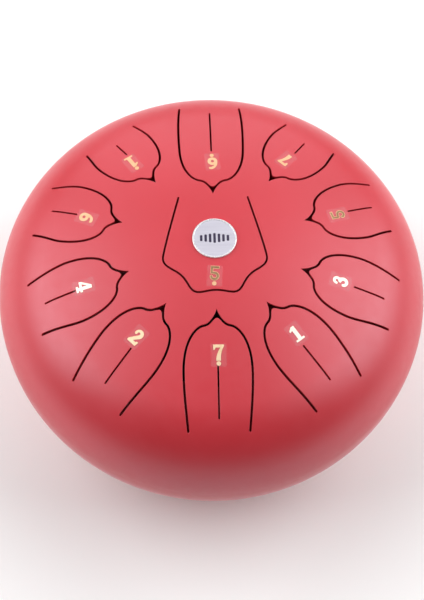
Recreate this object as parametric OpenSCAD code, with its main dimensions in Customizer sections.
// Eleven-note steel tongue drum. Millimetres, +Z up, standing on z = 0, axis on the origin.
// The low side tongue points toward -Y and the centre tongue is rooted toward +Y.

/* [Shell] */
// Outside diameter of the drum at the seam
drum_d = 305; // [300:1:320]
// Thickness of the steel sheet
wall = 1.5; // [1.2:0.1:2]
// Radius of the top bowl's shoulder seen from the side
top_shoulder_r = 57.7; // [54:0.1:60]
// Radius of the bottom bowl's shoulder, which is also the bottom bowl's depth
bottom_shoulder_r = 91; // [84:1:94]
// Half height of the straight band that carries the seam
rim_h = 1.5; // [1.2:0.1:3]
// Diameter of the sound hole in the floor
sound_hole_d = 80; // [60:1:84]

/* [Tongues] */
// Width of the cut round every outer tongue
slot_w = 1.6; // [1.2:0.1:1.8]
// Width of the cut round the centre tongue
centre_slot_w = 1.4; // [1:0.1:1.8]
// Width of the short radial cut in every outer tongue
slit_w = 1.2; // [0.8:0.1:1.5]
// Hairline left between a tongue's root and the shell, where the real steel bends
root_gap = 0.05; // [0.04:0.01:0.1]
// Distance from a petal's pointed cut to the blunt end of its tongue
tip_gap = 6.1; // [5.8:0.1:7]

/* [Badge and numbers] */
// Diameter of the badge
badge_d = 30; // [26:1:32]
// Height of the badge at its rim
badge_h = 1; // [0.8:0.1:1.6]
// Distance of the badge centre from the axis, toward the root of the centre tongue
badge_y = 4.4; // [2:0.1:6]
// Length of a clear film along the tongue
film_l = 15; // [13:0.5:16]
// Width of a clear film across the tongue
film_w = 10.5; // [10:0.5:12]
// Thickness of a clear film
film_t = 0.12; // [0.1:0.01:0.2]
// Thickness of the foil digit on a film
foil_t = 0.08; // [0.06:0.01:0.15]

/* [Feet] */
// Clear height under the floor
stand_h = 7; // [6:0.5:10]
// Distance of the feet from the axis
foot_ring_r = 72; // [70:1:78]
// Diameter of a foot against the shell
foot_d = 22; // [20:1:24]
// Diameter of a foot on the table
foot_base_d = 18; // [16:1:19]
// Number of feet
foot_count = 4; // [3:1:6]

/* [Hidden] */
$fn = 96;
drum_r = drum_d / 2;
// Heights of the arc centres above the table
bottom_centre_z = stand_h + bottom_shoulder_r;
seam_z = bottom_centre_z + rim_h;
top_centre_z = seam_z + rim_h;
// The crown is a sphere that meets the shoulder without a step. The two arc centres and the
// axis make a right triangle with sides 60, 221 and 229, so the arcs meet on whole numbers.
shoulder_x = drum_r - top_shoulder_r;
arc_unit = shoulder_x / 60;
crown_r = 229 * arc_unit + top_shoulder_r;
crown_centre_z = top_centre_z - 221 * arc_unit;
// Radius of the flat floor
floor_r = drum_r - bottom_shoulder_r;
// Seam groove: open by this half height outside and by the smaller one inside
groove_out = 1.4;
groove_in = 0.4;
bead_h = 0.5;
// Fasteners: M4 button head screw, fibre washer and hexagon nut
screw_r = 2;
screw_hole_r = 2.25;
head_r = 4;
head_h = 2.2;
rubber_under_head = 3;
washer_r = 5;
washer_h = 1;
washer_lift = pow(washer_r, 2) / (2 * (bottom_shoulder_r - wall)) + 0.01;
nut_flats = 7;
nut_h = 3.2;
screw_end = wall + 6.5;
// A foot leans with the floor it is screwed to
foot_lean = asin((foot_ring_r - floor_r) / bottom_shoulder_r);
foot_z = bottom_centre_z - bottom_shoulder_r * cos(foot_lean);

// One outer tongue per row: direction in degrees, tip radius, root radius, root half width,
// slit start radius, slit end radius, film radius, film shift across, film turn
seven_low = [-90, 46.7, 125.5, 20.1, 85.1, 117.7, 77.7, 0.5, 0];
one = [-51.4, 53.2, 128, 19.8, 90.9, 117.7, 81.6, 1.5, -2];
two = [-128.6, 53.2, 128, 19.8, 90.9, 117.7, 82.5, -1.6, -7];
three = [-16.5, 59.9, 127.3, 19.2, 98, 119, 87.8, 0.4, 0];
four = [196.5, 59.9, 127.3, 19.2, 98, 119, 91.7, -0.7, -4];
five = [18.2, 65.3, 125.4, 19.7, 99.1, 117.3, 90.4, -1.2, 0];
six = [161.8, 65.3, 125.4, 19.7, 99.1, 117.3, 91.2, 1.5, -8];
seven = [52.8, 64.6, 119.4, 20.7, 99, 110.6, 88.9, 1.5, -5];
one_high = [127.2, 64.6, 119.4, 20.7, 99, 110.6, 89.3, 1.7, -5];
six_low = [90, 40.6, 123.7, 21.8, 78.6, 115.9, 68.4, -0.5, 3];
petals = [seven_low, one, two, three, four, five, six, seven, one_high, six_low];

red = [0.86, 0.27, 0.30];
steel = [0.62, 0.63, 0.65];
gold = [0.85, 0.72, 0.42];

// Cubic curve through a to d, and its direction, at t from 0 to 1
function curve(a, b, c, d, t) =
    a * pow(1 - t, 3) + 3 * b * t * pow(1 - t, 2) + 3 * c * pow(t, 2) * (1 - t) + d * pow(t, 3);
function heading(a, b, c, d, t) =
    3 * (b - a) * pow(1 - t, 2) + 6 * (c - b) * t * (1 - t) + 3 * (d - c) * pow(t, 2);
// The same point moved sideways by side, to the right of the direction of travel when negative
function shifted(a, b, c, d, t, side) =
    let (h = heading(a, b, c, d, t))
    curve(a, b, c, d, t) + side * [-h[1], h[0]] / norm(h);

// Middle line of the cut round a petal: [distance from the point, half width], in three curves
neck = [[0, 0], [5.5, 1.3], [10.7, 4.4], [11.3, 8.8]];
head = [[11.3, 8.8], [11.9, 13.3], [19.3, 21.4], [38, 22.4]];
function flank(length, root_w) =
    let (rest = length - 38)
    [[38, 22.4], [38 + rest * 0.25, 22.4 + rest * 0.012], [38 + rest * 0.6, root_w + rest * 0.04], [length, root_w]];
function along(c, t, side) = shifted(c[0], c[1], c[2], c[3], t, side);

// Half outline from the pointed end to the root. The opening lies outside the middle line.
function opening_side(length, root_w) = concat(
    [[0, 0]],
    [for (i = [1 : 5]) along(neck, i / 6, slot_w / 2 * min(1, i / 3))],
    [for (i = [0 : 7]) along(head, i / 8, slot_w / 2)],
    [for (i = [0 : 3]) along(flank(length, root_w), i / 4, slot_w / 2)],
    [[length, root_w + slot_w / 2]]
);
// The tongue lies inside it and ends bluntly, so the cut opens into a small dark triangle.
function tongue_side(length, root_w) = concat(
    [[tip_gap, 0], [tip_gap + 0.15, 0.7], [tip_gap + 0.8, 1.6]],
    [for (i = [4 : 5]) along(neck, i / 6, -slot_w / 2)],
    [for (i = [0 : 7]) along(head, i / 8, -slot_w / 2)],
    [for (i = [0 : 3]) along(flank(length, root_w), i / 4, -slot_w / 2)],
    [[length - root_gap, root_w - slot_w / 2]]
);
function other_side(points) = [for (i = [len(points) - 1 : -1 : 0]) if (points[i][1] > 0) [points[i][0], -points[i][1]]];

// Centre tongue: half outline of the middle of its cut, [half width, y], root first
centre_root_y = 38.4;
centre_root_w = 23.9;
function centre_side(side) = concat(
    [[centre_root_w + side, centre_root_y], [35.0 - 1.5 + side, -2.5], [35.0 + side, -8.9]],
    [for (i = [1 : 3]) along([[35.0, -8.9], [35.2, -14.5], [29.8, -17.0], [26.6, -19.2]], i / 4, side)],
    [for (i = [0 : 4]) along([[26.6, -19.2], [20.5, -23.4], [19.4, -27.6], [17.0, -31.4]], i / 5, side)],
    [for (i = [0 : 3]) along([[17.0, -31.4], [14.6, -35.2], [11.6, -35.0], [8.5, -34.5]], i / 4, side)],
    [for (i = [0 : 2]) along([[8.5, -34.5], [5.5, -34.0], [3.5, -33.4], [0, -33.4]], i / 3, side)],
    [[0, -33.4 - side]]
);
function mirrored(points) = [for (i = [len(points) - 1 : -1 : 0]) if (points[i][0] > 0) [-points[i][0], points[i][1]]];

// Ring of sheet between two distances from the outside face, above the seam
module crown_section(low, high) {
    intersection() {
        translate([0, crown_centre_z])
            difference() {
                circle(crown_r + high, $fn = 360);
                circle(crown_r + low, $fn = 360);
            }
        translate([0, crown_centre_z])
            polygon([[0, 0], [0, 442], [120, 442]]);
    }
}

module shoulder_section(low, high) {
    intersection() {
        translate([shoulder_x, top_centre_z])
            difference() {
                circle(top_shoulder_r + high, $fn = 180);
                circle(top_shoulder_r + low, $fn = 180);
            }
        translate([shoulder_x, top_centre_z])
            polygon([[0, 0], [90, 0], [90, 88.4], [24, 88.4]]);
    }
}

module top_bowl() {
    rotate_extrude($fn = 180) {
        crown_section(-wall, 0);
        shoulder_section(-wall, 0);
    }
}

// Rim strip of one bowl, bevelled toward the seam. up is 1 for the top bowl and -1 for the bottom.
module rim_strip(up) {
    rotate_extrude($fn = 180)
        polygon([
            [drum_r - wall, seam_z + up * groove_in],
            [drum_r, seam_z + up * groove_out],
            [drum_r, seam_z + up * rim_h],
            [drum_r - wall, seam_z + up * rim_h]
        ]);
}

module petal_shape(side_points) {
    polygon(concat(side_points, other_side(side_points)));
}

// Opening for one outer tongue with the slots round it
module petal_opening(p) {
    rotate([0, 0, p[0]])
        translate([p[1], 0, top_centre_z + 10])
            linear_extrude(height = 80)
                petal_shape(opening_side(p[2] - p[1], p[3]));
}

module slit(p) {
    rotate([0, 0, p[0]])
        translate([0, 0, top_centre_z + 10])
            linear_extrude(height = 80) {
                translate([p[4], -slit_w / 2])
                    square([p[5] - p[4], slit_w]);
                translate([p[4], 0])
                    circle(d = slit_w, $fn = 24);
                translate([p[5], 0])
                    circle(d = slit_w, $fn = 24);
            }
}

module centre_opening() {
    translate([0, 0, top_centre_z + 10])
        linear_extrude(height = 80)
            polygon(concat(centre_side(centre_slot_w / 2), mirrored(centre_side(centre_slot_w / 2))));
}

module top_shell() {
    color(red) {
        difference() {
            top_bowl();
            for (p = petals)
                petal_opening(p);
            centre_opening();
        }
        rim_strip(1);
    }
}

module petal_tongue(p) {
    color(red)
        difference() {
            intersection() {
                top_bowl();
                rotate([0, 0, p[0]])
                    translate([p[1], 0, top_centre_z + 10])
                        linear_extrude(height = 80)
                            petal_shape(tongue_side(p[2] - p[1], p[3]));
            }
            slit(p);
        }
}

module tongue_5_low() {
    color(red)
        intersection() {
            top_bowl();
            difference() {
                translate([0, 0, top_centre_z + 10])
                    linear_extrude(height = 80)
                        polygon(concat(centre_side(-centre_slot_w / 2), mirrored(centre_side(-centre_slot_w / 2))));
                translate([-40, centre_root_y - root_gap, top_centre_z])
                    cube([80, 10, 100]);
            }
        }
}

module tongue_6_low() { petal_tongue(six_low); }
module tongue_7_low() { petal_tongue(seven_low); }
module tongue_1() { petal_tongue(one); }
module tongue_2() { petal_tongue(two); }
module tongue_3() { petal_tongue(three); }
module tongue_4() { petal_tongue(four); }
module tongue_5() { petal_tongue(five); }
module tongue_6() { petal_tongue(six); }
module tongue_7() { petal_tongue(seven); }
module tongue_1_high() { petal_tongue(one_high); }

// Thin layer that follows the crown between two heights above the paint
module crown_layer(low, high) {
    rotate_extrude($fn = 180)
        crown_section(low, high);
}

module film_shape() {
    corner = 1.2;
    square([film_l - 2 * corner, film_w], center = true);
    square([film_l, film_w - 2 * corner], center = true);
    for (x = [-1, 1], y = [-1, 1])
        translate([x * (film_l / 2 - corner), y * (film_w / 2 - corner)])
            circle(corner, $fn = 24);
}

// Everything on an outer tongue: x outward along the tongue, so digits stand with their foot outward
module on_petal(p) {
    rotate([0, 0, p[0]])
        translate([p[6], p[7], top_centre_z + 30])
            rotate([0, 0, p[8]])
                children();
}

module film(p) {
    color([0.92, 0.55, 0.56, 0.5])
        intersection() {
            crown_layer(0, film_t);
            on_petal(p)
                linear_extrude(height = 60)
                    film_shape();
        }
}

module on_centre() {
    translate([-0.7, -23.2, top_centre_z + 30])
        rotate([0, 0, -4])
            children();
}

module film_5_low() {
    color([0.92, 0.55, 0.56, 0.5])
        intersection() {
            crown_layer(0, film_t);
            on_centre()
                linear_extrude(height = 60)
                    rotate(90)
                        film_shape();
        }
}

module film_6_low() { film(six_low); }
module film_7_low() { film(seven_low); }
module film_1() { film(one); }
module film_2() { film(two); }
module film_3() { film(three); }
module film_4() { film(four); }
module film_5() { film(five); }
module film_6() { film(six); }
module film_7() { film(seven); }
module film_1_high() { film(one_high); }

// Digits 10.6 high with slab feet, drawn upright round the origin
module arch(x, y, outside, inside) {
    translate([x, y])
        difference() {
            circle(outside, $fn = 36);
            circle(inside, $fn = 36);
        }
}

module shape_1() {
    polygon([
        [-1.3, -3.9], [-1.3, 2.9], [-3.2, 2.4], [-3.2, 3.6], [-0.6, 5.3], [1.4, 5.3],
        [1.4, -3.9], [3.3, -3.9], [3.3, -5.3], [-3.3, -5.3], [-3.3, -3.9]
    ]);
}

// Points on an arc, from one angle to another
function arc(x, y, r, from, to, steps) =
    [for (i = [0 : steps]) let (t = from + (to - from) * i / steps) [x + r * cos(t), y + r * sin(t)]];

module shape_2() {
    polygon(concat(
        arc(0.1, 2.1, 3.2, 180, -40, 12),
        [[-0.2, -3.2], [1.9, -3.2], [2.4, -2.4], [3.7, -2.4], [3.2, -5.3], [-3.7, -5.3], [-3.7, -3.9]],
        arc(-0.3, 2.3, 1, -40, 180, 8),
        [[-1.4, 1.2], [-2.2, 0.9], [-3, 1.3]]
    ));
}

module shape_3() {
    difference() {
        union() {
            arch(0, 2.6, 2.7, 0.85);
            arch(0, -1.9, 3.4, 1.2);
        }
        translate([-4, -1.5]) square([3.1, 3.8]);
    }
}

module shape_4() {
    difference() {
        polygon([
            [0.1, 5.3], [2.4, 5.3], [2.4, -1.1], [3.7, -1.1], [3.7, -2.8], [2.4, -2.8], [2.4, -3.9], [3.4, -3.9],
            [3.4, -5.3], [-1, -5.3], [-1, -3.9], [0, -3.9], [0, -2.8], [-3.8, -2.8], [-3.8, -1.3]
        ]);
        polygon([[0, 2.3], [0, -1.1], [-2, -1.1]]);
    }
}

module shape_5() {
    translate([-2.8, 3.3]) square([5.7, 2]);
    translate([-2.8, -0.1]) square([1.8, 5.4]);
    difference() {
        arch(-0.1, -2, 3.3, 1.2);
        translate([-4, -2.3]) square([3, 2.8]);
    }
}

module shape_6() {
    arch(0, -1.9, 3.4, 1.1);
    difference() {
        arch(1.4, 0.7, 4.7, 2.7);
        translate([-4, -5]) square([10, 3.5]);
        translate([1.9, -5]) square([5, 12]);
        translate([-4, -5]) square([2.2, 4.1]);
    }
}

module shape_7() {
    polygon([
        [-3.5, 5.3], [3.6, 5.3], [3.6, 4.3], [1.9, 1], [1.3, -2], [1.6, -5.3], [-1.5, -5.3],
        [-1.6, -3.5], [-0.8, -0.3], [1, 3.2], [-1.9, 3.2], [-2.4, 1.9], [-3.5, 1.9]
    ]);
}

module dot() { circle(1.5, $fn = 30); }

module foil(p) {
    color(gold)
        intersection() {
            crown_layer(film_t, film_t + foil_t);
            on_petal(p)
                linear_extrude(height = 60)
                    rotate(90)
                        children();
        }
}

module digit_5_low() {
    color(gold)
        intersection() {
            crown_layer(film_t, film_t + foil_t);
            on_centre()
                linear_extrude(height = 60) {
                    translate([0, 1.7]) shape_5();
                    translate([0, -5.7]) dot();
                }
        }
}

module digit_6_low() {
    foil(six_low) {
        translate([0, 1.6]) shape_6();
        translate([0, -5.6]) dot();
    }
}

module digit_7_low() {
    foil(seven_low) {
        translate([0, 1.6]) shape_7();
        translate([0, -5.5]) dot();
    }
}

module digit_1() { foil(one) shape_1(); }
module digit_2() { foil(two) shape_2(); }
module digit_3() { foil(three) shape_3(); }
module digit_4() { foil(four) shape_4(); }
module digit_5() { foil(five) shape_5(); }
module digit_6() { foil(six) shape_6(); }
module digit_7() { foil(seven) shape_7(); }
module digit_1_high() {
    foil(one_high) {
        translate([0, -1.6]) shape_1();
        translate([0, 5.6]) dot();
    }
}

// How far the crown falls from a tangent plane, at a distance from the touching point
function crown_drop(r) = crown_r - sqrt(pow(crown_r, 2) - pow(r, 2));

// Turned disc with a hollow underside, a raised rim and a plain wave of bars on its dish
module badge() {
    badge_r = badge_d / 2;
    dish = 0.3;
    color([0.85, 0.86, 0.88])
        translate([0, 0, crown_centre_z])
            rotate([-asin(badge_y / crown_r), 0, 0])
                translate([0, 0, crown_r + 0.01]) {
                    rotate_extrude($fn = 96)
                        polygon([
                            [0, 0],
                            [badge_r / 3, -crown_drop(badge_r / 3)],
                            [badge_r * 2 / 3, -crown_drop(badge_r * 2 / 3)],
                            [badge_r, -crown_drop(badge_r)],
                            [badge_r, badge_h - 0.2],
                            [badge_r - 0.2, badge_h],
                            [badge_r - 0.9, badge_h],
                            [badge_r - 1.1, badge_h - dish],
                            [0, badge_h - dish]
                        ]);
                    for (i = [-3 : 3])
                        translate([i * 3 - 0.85, -(7.5 - abs(i)) / 2, badge_h - dish - 0.2])
                            cube([1.7, 7.5 - abs(i), 0.4]);
                }
}

module bottom_shell() {
    color(red)
        difference() {
            union() {
                rotate_extrude($fn = 180)
                    intersection() {
                        translate([floor_r, bottom_centre_z])
                            difference() {
                                circle(bottom_shoulder_r, $fn = 180);
                                circle(bottom_shoulder_r - wall, $fn = 180);
                            }
                        translate([floor_r, stand_h - 1])
                            square([120, bottom_shoulder_r + 1]);
                    }
                translate([0, 0, stand_h])
                    cylinder(h = wall, r = floor_r, $fn = 180);
                rim_strip(-1);
            }
            translate([0, 0, stand_h - 1])
                cylinder(h = wall + 2, d = sound_hole_d, $fn = 96);
            each_foot()
                translate([0, 0, -2])
                    cylinder(h = 6, r = screw_hole_r, $fn = 36);
        }
}

// Weld metal that fills the groove, flush outside and a little proud inside
module seam_weld() {
    color(red)
        rotate_extrude($fn = 180)
            polygon([
                [drum_r - wall, seam_z - groove_in],
                [drum_r, seam_z - groove_out],
                [drum_r, seam_z + groove_out],
                [drum_r - wall, seam_z + groove_in],
                [drum_r - wall, seam_z + groove_in + 0.8],
                [drum_r - wall - bead_h, seam_z + groove_in],
                [drum_r - wall - bead_h, seam_z - groove_in],
                [drum_r - wall, seam_z - groove_in - 0.8]
            ]);
}

// Solid bounded by the outside of the bottom bowl
module bottom_body() {
    rotate_extrude($fn = 180) {
        intersection() {
            translate([floor_r, bottom_centre_z])
                circle(bottom_shoulder_r, $fn = 180);
            translate([floor_r, stand_h - 1])
                square([120, 31]);
        }
        translate([0, stand_h])
            square([floor_r, 30]);
    }
}

// Places things at every foot, with z inward and zero on the outside of the floor
module each_foot() {
    for (i = [0 : foot_count - 1])
        rotate([0, 0, 45 + i * 360 / foot_count])
            translate([floor_r + bottom_shoulder_r * sin(foot_lean), 0, foot_z])
                rotate([0, -foot_lean, 0])
                    children();
}

module rubber_feet() {
    color([0.12, 0.12, 0.13])
        difference() {
            each_foot()
                difference() {
                    translate([0, 0, -stand_h - 4])
                        cylinder(h = stand_h + 6, r1 = foot_base_d / 2, r2 = foot_d / 2, $fn = 60);
                    translate([0, 0, -stand_h - 5])
                        cylinder(h = stand_h + 5 - rubber_under_head, r = head_r + 0.6, $fn = 36);
                    translate([0, 0, -stand_h])
                        cylinder(h = stand_h + 4, r = screw_hole_r, $fn = 36);
                }
            bottom_body();
            translate([-drum_r, -drum_r, -20])
                cube([drum_d, drum_d, 20]);
        }
}

module foot_screws() {
    color(steel)
        each_foot()
            difference() {
                union() {
                    translate([0, 0, -rubber_under_head - head_h])
                        cylinder(h = head_h, r1 = head_r * 0.75, r2 = head_r, $fn = 48);
                    translate([0, 0, -rubber_under_head - 0.5])
                        cylinder(h = screw_end + rubber_under_head + 0.5, r = screw_r, $fn = 36);
                }
                translate([0, 0, -rubber_under_head - head_h - 1])
                    cylinder(h = 2.2, d = 2.5 / cos(30), $fn = 6);
            }
}

// The floor curves away, so a flat washer rests on its rim a little above the sheet
module foot_washers() {
    color([0.45, 0.33, 0.24])
        each_foot()
            translate([0, 0, wall + washer_lift])
                difference() {
                    cylinder(h = washer_h, r = washer_r, $fn = 48);
                    translate([0, 0, -1])
                        cylinder(h = washer_h + 2, r = screw_hole_r, $fn = 36);
                }
}

module foot_nuts() {
    color(steel)
        each_foot()
            translate([0, 0, wall + washer_lift + washer_h])
                difference() {
                    cylinder(h = nut_h, d = nut_flats / cos(30), $fn = 6);
                    translate([0, 0, -1])
                        cylinder(h = nut_h + 2, r = screw_r + 0.05, $fn = 36);
                }
}

top_shell();
bottom_shell();
seam_weld();
tongue_5_low();
tongue_6_low();
tongue_7_low();
tongue_1();
tongue_2();
tongue_3();
tongue_4();
tongue_5();
tongue_6();
tongue_7();
tongue_1_high();
film_5_low();
film_6_low();
film_7_low();
film_1();
film_2();
film_3();
film_4();
film_5();
film_6();
film_7();
film_1_high();
digit_5_low();
digit_6_low();
digit_7_low();
digit_1();
digit_2();
digit_3();
digit_4();
digit_5();
digit_6();
digit_7();
digit_1_high();
badge();
rubber_feet();
foot_screws();
foot_washers();
foot_nuts();
